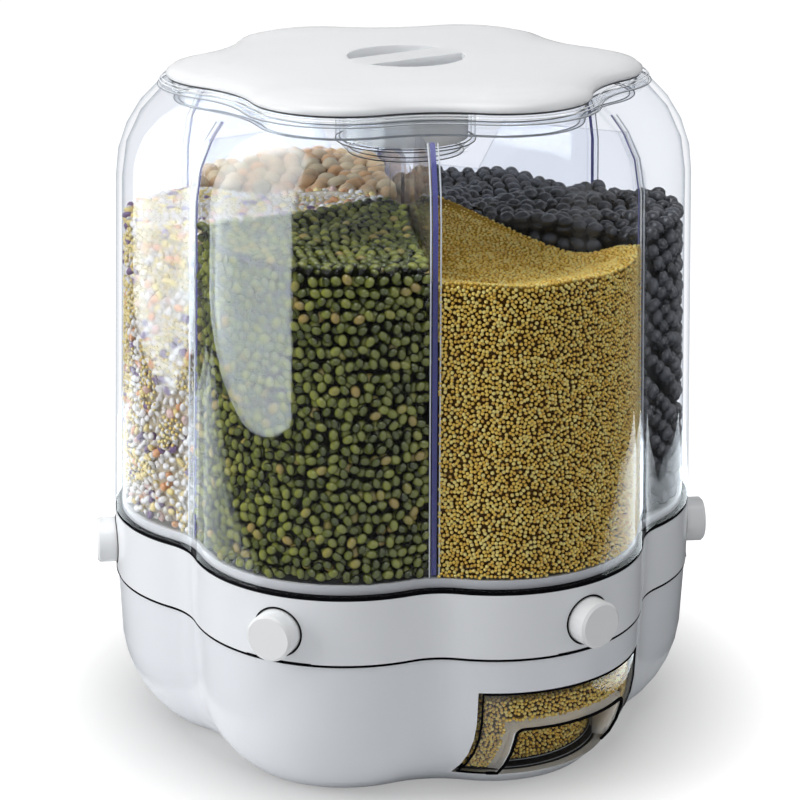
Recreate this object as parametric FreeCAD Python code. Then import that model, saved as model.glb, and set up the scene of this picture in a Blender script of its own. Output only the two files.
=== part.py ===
import FreeCAD
import Part
import math
import os

# Rotating grain dispenser: a six-lobed clear bucket with six compartments turns on a lobed base.
# Millimetres, +Z up, origin on the table under the turning axis, the cup opening faces -Y.
V = FreeCAD.Vector
UP = V(0, 0, 1)

# Plan outline shared by the base, collar, bucket and lid
lobe_count = 6
crest_radius = 125.0      # axis to the outermost point of a lobe, at the collar's top edge
lobe_centre = 0.4848 * crest_radius    # axis to the centre of a lobe's arc
valley_fillet = 0.236 * crest_radius   # concave round between two lobes

# Base bowl
foot_height = 1.0         # how far the rubber feet stand proud of the bowl
bowl_height = 61.9
bowl_wall = 2.5
bowl_rim_inset = 0.55     # bowl rim against the collar's top edge
bowl_upper_radius = 330.0
bowl_upper_height = 27.9  # part of the side that the flat upper arc covers
bowl_lower_radius = 50.2  # arc that tucks the side under
bowl_bottom_centre = 1.0025 * lobe_centre
opening_width = 84.0
opening_height = 41.5
opening_sill = 6.2        # bowl edge left standing under the cup opening
screw_post_reach = 86.0   # axis to the posts that join bowl and deck
screw_lobes = (1, 3, 5)

# Feet
foot_length = 24.0
foot_width = 12.0
foot_reach = 70.0
foot_recess = 1.0
foot_play = 0.2

# Deck that closes the bowl
deck_drop = 3.2           # deck surface below the bowl rim
deck_thickness = 3.0
deck_gap = 0.6
boss_diameter = 9.0
pivot_diameter = 24.0
pivot_height = 19.7
glide_length = 12.0
glide_width = 10.0
glide_reach = 44.0
glide_height = 7.3
glide_play = 0.1

# Outlets, gates and the chute to the cup
slot_width = 6.8
slot_pitch = 14.0
slot_length = 32.0
first_slot_reach = 66.0
chute_wall = 2.0
chute_gap = 0.6
gate_thickness = 2.4
throat_depth = 7.5        # outlets hang this far below the tray
gate_play = 0.2
gate_margin = 3.0         # plate beyond the slots on each side
rail_width = 2.0
rail_play = 0.4
rail_setback = 6.0

# Push buttons
button_travel = 7.0
button_reach = 8.2        # how far a button stands out at rest
button_face_diameter = 17.8
button_root_diameter = 19.4
button_chamfer = 1.0
button_hole_gap = 0.6
button_drop = 15.0        # button axis below the collar's top edge
tongue_size = 8.0         # square tongue of the gate that carries the button
tongue_play = 0.1
tongue_depth = 6.0
lug_length = 4.0
lug_clearance = 12.0      # gate's lug to the inside of the collar
tab_width = 25.0          # plate behind the collar's wall that keeps the button in
tab_height = 20.6
tab_thickness = 1.6

# Return springs
spring_thickness = 0.8
spring_height = 4.0
spring_span = 28.0
spring_crown = 8.0
spring_bow = 12.5
spring_seat = 2.0

# Turning parts
seam_gap = 1.0            # shadow line between bowl and collar
pivot_play = 0.06
hub_wall = 3.5
hub_play = 0.4
keeper_side = 34.0
keeper_corner = 6.0
keeper_thickness = 1.5

# Screws
screw_diameter = 3.0
screw_head_diameter = 5.6
screw_head_height = 2.2
screw_play = 0.15
screw_length = 12.0
pivot_screw_diameter = 4.0
pivot_screw_head = 9.0
pivot_screw_head_height = 3.2

# Collar, gasket and tray of the bucket
collar_height = 27.2
collar_wall = 2.5
bracket_width = 16.0      # blocks inside the collar's valleys that carry the tray
bracket_length = 8.0
bracket_height = 8.0
gasket_height = 1.7
gasket_inset = 0.35
tray_gap = 0.5
tray_thickness = 2.5
tray_rim_height = 3.6     # pale band seen through the foot of the bucket
tray_rim_width = 1.8
rise_height = 26.0        # six-sided rise that sends the grain outwards
rise_foot_radius = 60.0
rise_top_radius = 18.0
rise_wall = 2.0
gate_plate_radius = 100.0
gate_plate_thickness = 2.5
strut_reach = 82.0
strut_size = 8.0

# Clear bucket
bucket_wall = 2.6
draft_height = 144.5
draft_inset = 4.55
draft_centre = 0.982 * lobe_centre
shoulder_radius = 48.5
shoulder_angle = 51.0
mouth_centre = 1.015 * lobe_centre
lip_thickness = 2.0

# Six-vane divider
vane_thickness = 2.0
vane_gap = 0.35
bead_width = 4.0
bead_depth = 3.5
hub_diameter = 13.0
vane_top_drop = 13.5      # flat top of the vanes below the bucket's lip
notch_drop = 21.0         # further drop of the vanes under the lid's bowl
notch_radius = 33.0

# Lid
lid_inset = 26.25
lid_edge_height = 1.4
lid_rise = 4.8            # rounded rise of the white cover above its edge
crown_share = 0.8         # part of the lid's lobe radius over which the crown rises
crown_bands = 4
frame_height = 2.9        # clear frame of the lid that rests on the bucket's lip
frame_inset = 23.4
frame_chamfer = 0.9
lid_wall = 2.2
seal_height = 0.9
seal_inset = 0.6
mouth_gap = 0.5
skirt_depth = 6.0
skirt_wall = 2.0
lid_plate_thickness = 1.8
grip_radius = 24.4
grip_depth = 31.5
grip_bar = 15.0
grip_wall = 1.8
well_gap = 1.5            # between the white grip cup and the clear bowl round it
well_wall = 1.6
well_depth = 36.0
well_chamfer = 5.0

# Cup and its bay
cup_width = 80.6
cup_back = 27.0           # axis to the back of the cup
cup_corner = 6.0
cup_wall = 1.8
cup_floor = 2.0
cup_top_gap = 0.7
cup_play = 0.3
cup_setback = 0.3         # cup's front behind the bowl's skin
recess_width = 56.0       # finger recess in the cup's front, open below
recess_top = 24.5         # its roof above the cup's underside
recess_reach = 46.0       # lobe centre to the recess's round back wall
recess_wall = 2.0
recess_slope = 2.0
recess_round = 3.0
bay_wall = 1.8
bay_gap = 0.9
bay_floor = 1.6
funnel_clearance = 1.5

# Heights and places worked out from the sizes above
bowl_bottom_z = foot_height
bowl_rim_z = bowl_bottom_z + bowl_height
floor_top_z = bowl_bottom_z + bowl_wall
deck_top_z = bowl_rim_z - deck_drop
deck_bottom_z = deck_top_z - deck_thickness
track_top_z = deck_top_z + glide_height + glide_play
gate_plate_top_z = track_top_z + gate_plate_thickness
collar_bottom_z = bowl_rim_z + seam_gap
collar_top_z = collar_bottom_z + collar_height
button_z = collar_top_z - button_drop
gasket_top_z = collar_top_z + gasket_height
tray_top_z = collar_top_z + tray_thickness
rim_top_z = gasket_top_z + tray_rim_height
throat_bottom_z = collar_top_z - throat_depth
gate_top_z = throat_bottom_z - gate_play
gate_bottom_z = gate_top_z - gate_thickness
chute_top_z = gate_bottom_z - gate_play
pivot_top_z = deck_top_z + pivot_height
draft_top_z = gasket_top_z + draft_height
shoulder_turn = math.radians(shoulder_angle)
lip_z = draft_top_z + shoulder_radius * math.sin(shoulder_turn)
lip_inset = draft_inset + shoulder_radius * (1 - math.cos(shoulder_turn))
mouth_inset = lid_inset + 2.4
skirt_inset = mouth_inset + mouth_gap
frame_top_z = lip_z + frame_height
lid_edge_z = frame_top_z + seal_height
lid_top_z = lid_edge_z + lid_edge_height + lid_rise
cup_bottom_z = bowl_bottom_z + opening_sill + cup_play
cup_top_z = bowl_bottom_z + opening_sill + opening_height - cup_top_gap
last_slot_reach = first_slot_reach + slot_pitch
chute_inner = first_slot_reach - gate_margin / 2
chute_outer = last_slot_reach + slot_width + gate_margin / 2
gate_half_width = slot_length / 2 + gate_margin
gate_inner = first_slot_reach - slot_pitch / 2 - 1.0
lug_outer = crest_radius - collar_wall - lug_clearance


def outline(z, inset, centre=lobe_centre):
    """Lobed wire at height z: six lobe arcs joined by six concave fillets."""
    radius = crest_radius - inset - centre
    fillet = valley_fillet + inset
    half = math.pi / lobe_count
    reach = centre * math.cos(half) + math.sqrt((radius + fillet) ** 2 - (centre * math.sin(half)) ** 2)
    valley = (reach * math.cos(half), reach * math.sin(half))
    share = radius / (radius + fillet)
    tangent = (centre + (valley[0] - centre) * share, valley[1] * share)
    tangent_angle = math.atan2(tangent[1], tangent[0])
    tangent_reach = math.hypot(*tangent)
    edges = []
    for k in range(lobe_count):
        axis_angle = -math.pi / 2 + 2 * half * k

        def point(angle, distance):
            return V(distance * math.cos(axis_angle + angle), distance * math.sin(axis_angle + angle), z)

        start = point(-tangent_angle, tangent_reach)
        end = point(tangent_angle, tangent_reach)
        following = point(2 * half - tangent_angle, tangent_reach)
        edges.append(Part.Arc(start, point(0, centre + radius), end).toShape())
        edges.append(Part.Arc(end, point(half, reach - fillet), following).toShape())
    return Part.Wire(edges)


def valley_reach(inset, centre=lobe_centre):
    """Axis to the bottom of a valley of the outline."""
    radius = crest_radius - inset - centre
    fillet = valley_fillet + inset
    half = math.pi / lobe_count
    reach = centre * math.cos(half) + math.sqrt((radius + fillet) ** 2 - (centre * math.sin(half)) ** 2)
    return reach - fillet


def prism(bottom, top, inset, centre=lobe_centre):
    return Part.Face(outline(bottom, inset, centre)).extrude(V(0, 0, top - bottom))


def loft(sections):
    """Ruled solid through (z, inset, centre) sections, lowest first."""
    return Part.makeLoft([outline(*section) for section in sections], True, True)


def box(x_range, y_range, z_range):
    size = [high - low for low, high in (x_range, y_range, z_range)]
    return Part.makeBox(*size, V(x_range[0], y_range[0], z_range[0]))


def post(diameter, bottom, top, x=0.0, y=0.0):
    return Part.makeCylinder(diameter / 2, top - bottom, V(x, y, bottom))


def turned(shape, degrees):
    copy = shape.copy()
    copy.rotate(V(0, 0, 0), UP, degrees)
    return copy


def at_lobes(shape, lobes=range(lobe_count)):
    """Copies of a shape drawn at the -Y lobe, one for each lobe asked for."""
    return [turned(shape, 360 / lobe_count * k) for k in lobes]


def at_valleys(shape, valleys=range(lobe_count)):
    """Copies of a shape drawn at -Y, turned to the valleys between the lobes."""
    return [turned(shape, 360 / lobe_count * (k + 0.5)) for k in valleys]


def save(name, shape):
    if not shape.isValid():
        raise ValueError(name + " is not a valid solid")
    shape.exportStep("parts/" + name + ".step")


def bowl_sections(wall, steps):
    """Sections of the bowl's skin, moved in by a wall, from its underside up to the rim."""
    start = math.asin(bowl_upper_height / bowl_upper_radius)
    upper_inset = bowl_rim_inset + bowl_upper_radius * (1 - math.cos(start))
    arc_z = bowl_rim_z - bowl_upper_height + bowl_lower_radius * math.sin(start)
    arc_inset = upper_inset + bowl_lower_radius * math.cos(start)
    end = math.asin((arc_z - bowl_bottom_z - wall) / (bowl_lower_radius - wall))
    sections = []
    for step in range(steps + 1):
        turn = end + (start - end) * step / steps
        z = arc_z - (bowl_lower_radius - wall) * math.sin(turn)
        share = (bowl_rim_z - z) / bowl_height
        centre = lobe_centre + (bowl_bottom_centre - lobe_centre) * share
        sections.append((z, arc_inset - (bowl_lower_radius - wall) * math.cos(turn), centre))
    return sections + [(bowl_rim_z, bowl_rim_inset + wall, lobe_centre)]


def bowl_inside(wall):
    sections = bowl_sections(wall, 3)
    return loft(sections[:-1] + [(bowl_rim_z + 1,) + sections[-1][1:]])


def base_bowl():
    bowl = loft(bowl_sections(0, 5)).cut(bowl_inside(bowl_wall))
    sill_z = bowl_bottom_z + opening_sill
    half = opening_width / 2
    window = box((-half, half), (-crest_radius - 5, -lobe_centre), (sill_z, sill_z + opening_height))
    seat = post(boss_diameter + 2, bowl_bottom_z + bowl_wall / 2, floor_top_z + 4.5, 0, -screw_post_reach)
    hole = post(screw_diameter + 0.4, 0, floor_top_z + 5, 0, -screw_post_reach)
    sink = post(screw_head_diameter + 1, 0, bowl_bottom_z + screw_head_height + 1, 0, -screw_post_reach)
    pocket = foot_pad(foot_play)
    bowl = bowl.cut(window).fuse(at_lobes(seat, screw_lobes))
    return bowl.cut(at_lobes(hole.fuse(sink), screw_lobes) + at_lobes(pocket))


def foot_pad(play=0.0):
    half = foot_length / 2 + play
    reach = (-foot_reach - foot_width / 2 - play, -foot_reach + foot_width / 2 + play)
    return box((-half, half), reach, (0, bowl_bottom_z + foot_recess))


def feet():
    return Part.makeCompound(at_lobes(foot_pad()))


def screw(head_z, x=0.0, y=0.0, length=screw_length):
    """Pan-head screw driven upwards, its head's underside at head_z."""
    head = post(screw_head_diameter, head_z - screw_head_height, head_z, x, y)
    return head.fuse(post(screw_diameter, head_z, head_z + length, x, y))


def base_screws():
    head_z = bowl_bottom_z + screw_head_height + 1
    return Part.makeCompound(at_lobes(screw(head_z, 0, -screw_post_reach), screw_lobes))


def base_deck():
    """Plate that closes the bowl, with the pivot, the screw bosses and the funnel over the cup."""
    plate = prism(deck_bottom_z, deck_top_z, bowl_rim_inset + bowl_wall + deck_gap)
    boss = post(boss_diameter, floor_top_z + 4.5, deck_bottom_z + 1, 0, -screw_post_reach)
    pilot_top = bowl_bottom_z + screw_head_height + 1 + screw_length + 1
    pilot = post(screw_diameter + 2 * screw_play, floor_top_z, pilot_top, 0, -screw_post_reach)
    pivot = post(pivot_diameter, deck_bottom_z, pivot_top_z)
    pivot_pilot = post(pivot_screw_diameter + 2 * screw_play, pivot_top_z - screw_length - 1, pivot_top_z)
    funnel_half = slot_length / 2 + chute_wall
    funnel_y = (-chute_outer - 1, -chute_inner + 1)
    wall_y = (funnel_y[0] - chute_wall, funnel_y[1] + chute_wall)
    funnel_bottom = cup_top_z + funnel_clearance
    funnel = box((-funnel_half, funnel_half), wall_y, (funnel_bottom, deck_bottom_z + 1))
    bore_half = funnel_half - chute_wall + 0.6
    bore = box((-bore_half, bore_half), funnel_y, (0, deck_top_z + 1))
    deck = plate.fuse([pivot, funnel] + at_lobes(boss, screw_lobes))
    return deck.cut([bore, pivot_pilot] + at_lobes(pilot, screw_lobes))


def glides():
    """Low-friction pads on the deck that carry the turning bucket."""
    pad = box((-glide_length / 2, glide_length / 2), (-glide_reach - glide_width, -glide_reach),
              (deck_top_z, deck_top_z + glide_height))
    return Part.makeCompound(at_lobes(pad))


def cup_bay():
    """Open-fronted garage for the cup, standing on ribs on the bowl's floor."""
    inner = cup_width / 2 + bay_gap
    outer = inner + bay_wall
    floor_z = bowl_bottom_z + opening_sill
    back = -cup_back + bay_gap
    shell = box((-outer, outer), (-crest_radius, back + bay_wall), (floor_z - bay_floor, deck_bottom_z))
    room = box((-inner, inner), (-crest_radius - 1, back), (floor_z, deck_bottom_z + 1))
    body = shell.cut(room)
    for x in (-outer, -bay_wall / 2, outer - bay_wall):
        rib = box((x, x + bay_wall), (-crest_radius, back + bay_wall), (floor_top_z, floor_z - bay_floor))
        body = body.fuse(rib)
    return body.common(bowl_inside(bowl_wall + deck_gap).fuse(prism(floor_top_z, floor_top_z + 1, 45)))


def cup_block(reduction, bottom, top):
    """Block of the cup's width that runs out through the opening, with its back corners rounded."""
    half = cup_width / 2 - reduction
    block = box((-half, half), (-crest_radius - 5, -cup_back - reduction), (bottom, top))
    rear = [edge for edge in block.Edges if abs(edge.tangentAt(0).z) > 0.9 and edge.CenterOfMass.y > -lobe_centre]
    return block.makeFillet(cup_corner - reduction, rear)


def recess_block(growth):
    """Finger recess under its sloping, round-cornered roof, grown by a wall's thickness."""
    half = recess_width / 2 + growth
    top = cup_bottom_z + recess_top + growth
    block = box((-half, half), (-crest_radius - 5, -lobe_centre), (cup_bottom_z - 1, top))
    upper = [edge for edge in block.Edges if abs(edge.CenterOfMass.z - top) < 0.01
             and abs(abs(edge.CenterOfMass.x) - half) < 0.01]
    block = block.makeFillet(recess_round + growth, upper)
    block.rotate(V(0, -lobe_centre - recess_reach, cup_bottom_z), V(1, 0, 0), recess_slope)
    return block.cut(post(2 * (recess_reach - growth), 0, bowl_rim_z, 0, -lobe_centre))


def cup():
    """Clear cup whose front carries on the bowl's skin, with the finger recess moulded into it."""
    body = cup_block(0, cup_bottom_z, cup_top_z).common(loft(bowl_sections(cup_setback, 5)))
    room = cup_block(cup_wall, cup_bottom_z + cup_floor, cup_top_z + 1)
    room = room.common(loft(bowl_sections(cup_setback + cup_wall, 5)))
    return body.cut(room.cut(recess_block(recess_wall))).cut(recess_block(0))


def gate_plate():
    """Underside of the bucket: hub, chutes, gate rails and spring seats on one disc."""
    plate = post(2 * gate_plate_radius, track_top_z, gate_plate_top_z)
    hub = post(pivot_diameter + 2 * (pivot_play + hub_wall), track_top_z, pivot_top_z - hub_play)
    half = slot_length / 2 + chute_wall
    chute = box((-half, half), (-chute_outer, -chute_inner), (deck_top_z + chute_gap, chute_top_z))
    rail_in = gate_half_width + rail_play
    rail_y = (-gate_plate_radius + rail_setback, -gate_inner - rail_play)
    rails = [box((x, x + rail_width), rail_y, (track_top_z, gate_top_z)) for x in (rail_in, -rail_in - rail_width)]
    seat_y = spring_foot_y()
    seat_half = spring_span / 2 + 2
    seat = box((-seat_half, seat_half), (seat_y, seat_y + spring_seat), (track_top_z, gate_top_z))
    solid = plate.fuse([hub] + at_lobes(chute) + at_lobes(rails[0]) + at_lobes(rails[1]) + at_lobes(seat))
    bore_half = slot_length / 2
    passage = box((-bore_half, bore_half), (-chute_outer + chute_wall, -chute_inner - chute_wall),
                  (0, chute_top_z + 1))
    pivot_bore = post(pivot_diameter + 2 * pivot_play, 0, pivot_top_z)
    return solid.cut([pivot_bore] + at_lobes(passage))


def pivot_keeper():
    """Clipped square plate on the pivot that holds the hub down."""
    half = keeper_side / 2
    plate = box((-half, half), (-half, half), (pivot_top_z, pivot_top_z + keeper_thickness))
    corners = [edge for edge in plate.Edges if abs(edge.tangentAt(0).z) > 0.9]
    plate = plate.makeChamfer(keeper_corner, corners)
    return plate.cut(post(pivot_screw_diameter + 2 * screw_play, 0, pivot_top_z + 2 * keeper_thickness))


def pivot_screw():
    seat_z = pivot_top_z + keeper_thickness
    head = post(pivot_screw_head, seat_z, seat_z + pivot_screw_head_height)
    return head.fuse(post(pivot_screw_diameter, seat_z - screw_length, seat_z))


def slots(bottom, top, shift):
    """The two louvre slots of an outlet at the -Y lobe, moved outwards by shift."""
    half = slot_length / 2
    pair = []
    for reach in (first_slot_reach, last_slot_reach):
        near = reach + shift
        pair.append(box((-half, half), (-near - slot_width, -near), (bottom, top)))
    return pair[0].fuse(pair[1])


def frustum(foot_apothem, top_apothem, bottom, top):
    """Six-sided solid with one sloping face towards each lobe."""
    rings = []
    for apothem, z in ((foot_apothem, bottom), (top_apothem, top)):
        corner = apothem / math.cos(math.pi / lobe_count)
        angles = [2 * math.pi * (k + 1) / lobe_count for k in range(lobe_count)]
        rings.append([V(corner * math.cos(angle), corner * math.sin(angle), z) for angle in angles])
    low, high = rings
    loops = [low[::-1], high]
    for k in range(lobe_count):
        following = (k + 1) % lobe_count
        loops.append([low[k], low[following], high[following], high[k]])
    faces = [Part.Face(Part.makePolygon(loop + loop[:1])) for loop in loops]
    return Part.makeSolid(Part.makeShell(faces))


def tray():
    """Floor of the compartments: rim, centre rise and six outlet throats, on struts."""
    inset = collar_wall + tray_gap
    body = prism(collar_top_z, rim_top_z, inset).cut(prism(tray_top_z, rim_top_z + 1, inset + tray_rim_width))
    rise = frustum(rise_foot_radius, rise_top_radius, tray_top_z, tray_top_z + rise_height)
    hollow_foot = rise_foot_radius - rise_wall
    hollow = frustum(hollow_foot, rise_top_radius - rise_wall, collar_top_z - 0.5, tray_top_z + rise_height - rise_wall)
    half = slot_length / 2 + chute_wall
    throat = box((-half, half), (-chute_outer, -chute_inner), (throat_bottom_z, tray_top_z))
    strut = box((-strut_size / 2, strut_size / 2), (-strut_reach - strut_size / 2, -strut_reach + strut_size / 2),
                (gate_plate_top_z, tray_top_z))
    body = body.fuse(rise).cut(hollow).fuse(at_lobes(throat) + at_valleys(strut))
    return body.cut(at_lobes(slots(0, tray_top_z + rise_height, 0)))


def collar():
    """Lobed ring round the gates, with a hole for each button and brackets under the tray."""
    body = prism(collar_bottom_z, collar_top_z, 0).cut(prism(collar_bottom_z - 1, collar_top_z + 1, collar_wall))
    hole_radius = button_root_diameter / 2 + button_hole_gap
    hole = Part.makeCylinder(hole_radius, crest_radius, V(0, 0, button_z), V(0, -1, 0))
    wall_reach = valley_reach(collar_wall)
    bracket = box((-bracket_width / 2, bracket_width / 2), (-wall_reach - 1, -wall_reach + bracket_length),
                  (collar_top_z - bracket_height, collar_top_z))
    return body.cut(at_lobes(hole)).fuse(at_valleys(bracket))


def gasket():
    outer = prism(collar_top_z, gasket_top_z, gasket_inset)
    return outer.cut(prism(collar_top_z, gasket_top_z, collar_wall + tray_gap - 0.2))


def shoulder_sections(wall, steps):
    """Sections of the bucket's shoulder skin, moved in by a wall."""
    sections = []
    for step in range(steps + 1):
        turn = shoulder_turn * step / steps
        radius = shoulder_radius - wall
        centre = draft_centre + (mouth_centre - draft_centre) * step / steps
        sections.append((draft_top_z + radius * math.sin(turn),
                         draft_inset + shoulder_radius - radius * math.cos(turn), centre))
    return sections


def bucket_skin(wall, steps, foot_z):
    """Drafted side in two bands and the shoulder above it, moved in by a wall."""
    shoulder = shoulder_sections(wall, steps)
    middle_z = (gasket_top_z + draft_top_z) / 2
    middle = (middle_z, wall + draft_inset / 2, (lobe_centre + draft_centre) / 2)
    return loft([(foot_z, wall, lobe_centre), middle] + shoulder)


def bucket_shell():
    outer = bucket_skin(0, 4, gasket_top_z)
    inner = bucket_skin(bucket_wall, 3, gasket_top_z - 0.5)
    ceiling = shoulder_sections(bucket_wall, 1)[-1][0]
    return outer.cut([inner, prism(ceiling - 1, lip_z + 1, mouth_inset, mouth_centre)])


def wall_line(gap):
    """(reach, z) points up the inside of a valley of the bucket, held off by a gap."""
    points = [(valley_reach(bucket_wall + gap), gasket_top_z)]
    for z, inset, centre in shoulder_sections(bucket_wall, 3):
        points.append((valley_reach(inset + gap, centre), z))
    return points


def upright(points, thickness):
    """Plate in the XZ plane, centred on it, from an outline of (reach, z) points."""
    corners = [V(reach, -thickness / 2, z) for reach, z in points]
    face = Part.Face(Part.makePolygon(corners + corners[:1]))
    return face.extrude(V(0, thickness, 0))


def divider():
    """Hub and six upright vanes; each vane ends in a bead against the bucket's valley."""
    side = wall_line(vane_gap)
    bottom_z = tray_top_z + vane_gap
    rim_z = rim_top_z + vane_gap
    rim_reach = valley_reach(collar_wall + tray_gap + tray_rim_width) - vane_gap
    top_z = lip_z - vane_top_drop
    rise_top_z = tray_top_z + rise_height
    notch_z = top_z - notch_drop
    corner = 1 / math.cos(math.pi / lobe_count)
    below = [point for point in side[1:] if point[1] < top_z]
    (reach_a, z_a), (reach_b, z_b) = below[-1], side[len(below) + 1]
    reach_at_top = reach_a + (reach_b - reach_a) * (top_z - z_a) / (z_b - z_a)
    climb = [(side[0][0], rim_z)] + below + [(reach_at_top, top_z)]
    foot = [(rise_top_radius * corner, rise_top_z + vane_gap), (rise_foot_radius * corner + vane_gap, bottom_z),
            (rim_reach, bottom_z), (rim_reach, rim_z)]
    top = [(notch_radius + notch_drop / 2, top_z), (notch_radius, notch_z), (0, notch_z)]
    vane = upright([(0, rise_top_z + vane_gap)] + foot + climb + top, vane_thickness)
    inward = [(reach - bead_depth, z) for reach, z in reversed(climb)]
    bead = upright(climb + inward, bead_width)
    hub = post(hub_diameter, rise_top_z + vane_gap, notch_z)
    blades = []
    for k in range(lobe_count):
        angle = 360 / lobe_count * k
        blades += [turned(vane, angle), turned(bead, angle)]
    return hub.fuse(blades)


def button():
    """Round cap with a plate behind the collar's wall, hollowed for the gate's tongue."""
    face_y = crest_radius + button_reach
    root = button_root_diameter / 2
    back_y = button_back_y()
    front_y = back_y + tab_thickness
    cap = Part.makeCylinder(root, face_y - button_chamfer - front_y, V(0, -front_y, button_z), V(0, -1, 0))
    nose = Part.makeCone(root, root - button_chamfer, button_chamfer, V(0, -face_y + button_chamfer, button_z),
                         V(0, -1, 0))
    plate = box((-tab_width / 2, tab_width / 2), (-front_y, -back_y),
                (button_z - tab_height / 2, button_z + tab_height / 2))
    socket = tongue(-back_y - tongue_depth - tongue_play, -back_y + 1, tongue_play)
    return cap.fuse([nose, plate]).cut(socket)


def button_back_y():
    """Axis to the button's back, which clears the curved inside of the collar."""
    radius = crest_radius - collar_wall - lobe_centre
    return lobe_centre + math.sqrt(radius ** 2 - (tab_width / 2) ** 2) - 0.3 - tab_thickness


def tongue(front_y, back_y, play=0.0):
    half = tongue_size / 2 + play
    return box((-half, half), (front_y, back_y), (button_z - half, button_z + half))


def gate():
    """Louvre slide: a plate with two windows, and the tongue that carries the button."""
    plate = box((-gate_half_width, gate_half_width), (-lug_outer, -gate_inner), (gate_bottom_z, gate_top_z))
    lug = box((-tongue_size, tongue_size), (-lug_outer, -lug_outer + lug_length),
              (button_z - tongue_size / 2, gate_top_z))
    neck = tongue(-button_back_y() - tongue_depth, -lug_outer + lug_length)
    return plate.fuse([lug, neck]).cut(slots(gate_bottom_z - 1, gate_top_z + 1, slot_pitch / 2))


def spring_foot_y():
    return -gate_inner + gate_play + spring_bow


def spring():
    """Bent steel strip between the gate's inner end and its seat."""
    foot_y = spring_foot_y()
    crown_y = foot_y - spring_bow
    outer_foot, inner_foot = spring_span / 2, spring_span / 2 - spring_thickness
    outer_crown = spring_crown / 2
    inner_crown = outer_crown - spring_thickness / 2
    right = [(outer_foot, foot_y), (outer_crown, crown_y)]
    under = [(inner_crown, crown_y + spring_thickness), (inner_foot, foot_y)]
    points = right + [(-x, y) for x, y in reversed(right)]
    points += [(-x, y) for x, y in reversed(under)] + under
    z = gate_top_z - spring_height
    corners = [V(x, y, z) for x, y in points]
    return Part.Face(Part.makePolygon(corners + corners[:1])).extrude(V(0, 0, spring_height))


def lid_cover():
    """Crowned white cover with a round grip recess crossed by a bar."""
    floor_z = lid_top_z - grip_depth
    crown_z = lid_edge_z + lid_edge_height
    edge = prism(lid_edge_z, crown_z, lid_inset, mouth_centre)
    crown_inset = crown_share * (crest_radius - lid_inset - mouth_centre)
    turns = [math.pi / 2 * step / crown_bands for step in range(crown_bands + 1)]
    crown = loft([(crown_z + lid_rise * math.sin(turn), lid_inset + crown_inset * (1 - math.cos(turn)), mouth_centre)
                  for turn in turns])
    room = prism(lid_edge_z - 1, crown_z, lid_inset + lid_wall, mouth_centre)
    grip_cup = post(2 * (grip_radius + grip_wall), floor_z - grip_wall, lid_top_z)
    bar_half = grip_bar / 2
    reach = grip_radius + 1
    recess = post(2 * grip_radius, floor_z, lid_top_z + 1)
    recess = recess.cut(box((-reach, reach), (-bar_half, bar_half), (floor_z - 1, lid_top_z + 1)))
    core_reach = math.sqrt(grip_radius ** 2 - bar_half ** 2)
    core = box((-core_reach, core_reach), (-bar_half + grip_wall, bar_half - grip_wall),
               (floor_z - 5, lid_top_z - lid_wall))
    return edge.fuse(crown).cut(room).fuse(grip_cup).cut([recess, core])


def well_solid(radius, bottom, top, chamfer):
    """Round tub with a sloped foot, as a solid."""
    tub = post(2 * radius, bottom + chamfer, top)
    return tub.fuse(Part.makeCone(radius - chamfer, radius, chamfer, V(0, 0, bottom)))


def lid_body():
    """Clear inner lid: frame on the lip, skirt inside the mouth and the tub round the grip cup."""
    top_z = lid_edge_z + lid_edge_height
    disc = prism(lip_z - skirt_depth, top_z, skirt_inset, mouth_centre)
    frame = loft([(lip_z, frame_inset, mouth_centre), (frame_top_z - frame_chamfer, frame_inset, mouth_centre),
                  (frame_top_z, frame_inset + frame_chamfer, mouth_centre)])
    room = prism(lip_z - skirt_depth - 1, top_z - lid_plate_thickness, skirt_inset + skirt_wall, mouth_centre)
    radius = grip_radius + grip_wall + well_gap
    bottom = lid_top_z - well_depth - grip_wall
    tub = well_solid(radius + well_wall, bottom - well_wall, top_z, well_chamfer)
    hollow = well_solid(radius, bottom, lid_top_z, well_chamfer - well_wall / 2)
    return disc.fuse(frame).cut(room).fuse(tub).cut(hollow)


def lid_seal():
    outer = prism(frame_top_z, lid_edge_z, lid_inset + seal_inset, mouth_centre)
    return outer.cut(prism(frame_top_z, lid_edge_z, skirt_inset - 0.15, mouth_centre))


os.makedirs("parts", exist_ok=True)
save("base_bowl", base_bowl())
save("feet", feet())
save("base_screws", base_screws())
save("base_deck", base_deck())
save("cup_bay", cup_bay())
save("cup", cup())
save("glides", glides())
save("gate_plate", gate_plate())
save("pivot_keeper", pivot_keeper())
save("pivot_screw", pivot_screw())
save("tray", tray())
save("collar", collar())
save("gasket", gasket())
save("bucket_shell", bucket_shell())
save("divider", divider())
for number in range(lobe_count):
    angle = 360 / lobe_count * number
    save("button_%d" % (number + 1), turned(button(), angle))
    save("gate_%d" % (number + 1), turned(gate(), angle))
    save("spring_%d" % (number + 1), turned(spring(), angle))
save("lid_cover", lid_cover())
save("lid_body", lid_body())
save("lid_seal", lid_seal())
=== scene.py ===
import math
import bmesh
import bpy
from mathutils import Matrix, Vector, noise


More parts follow.
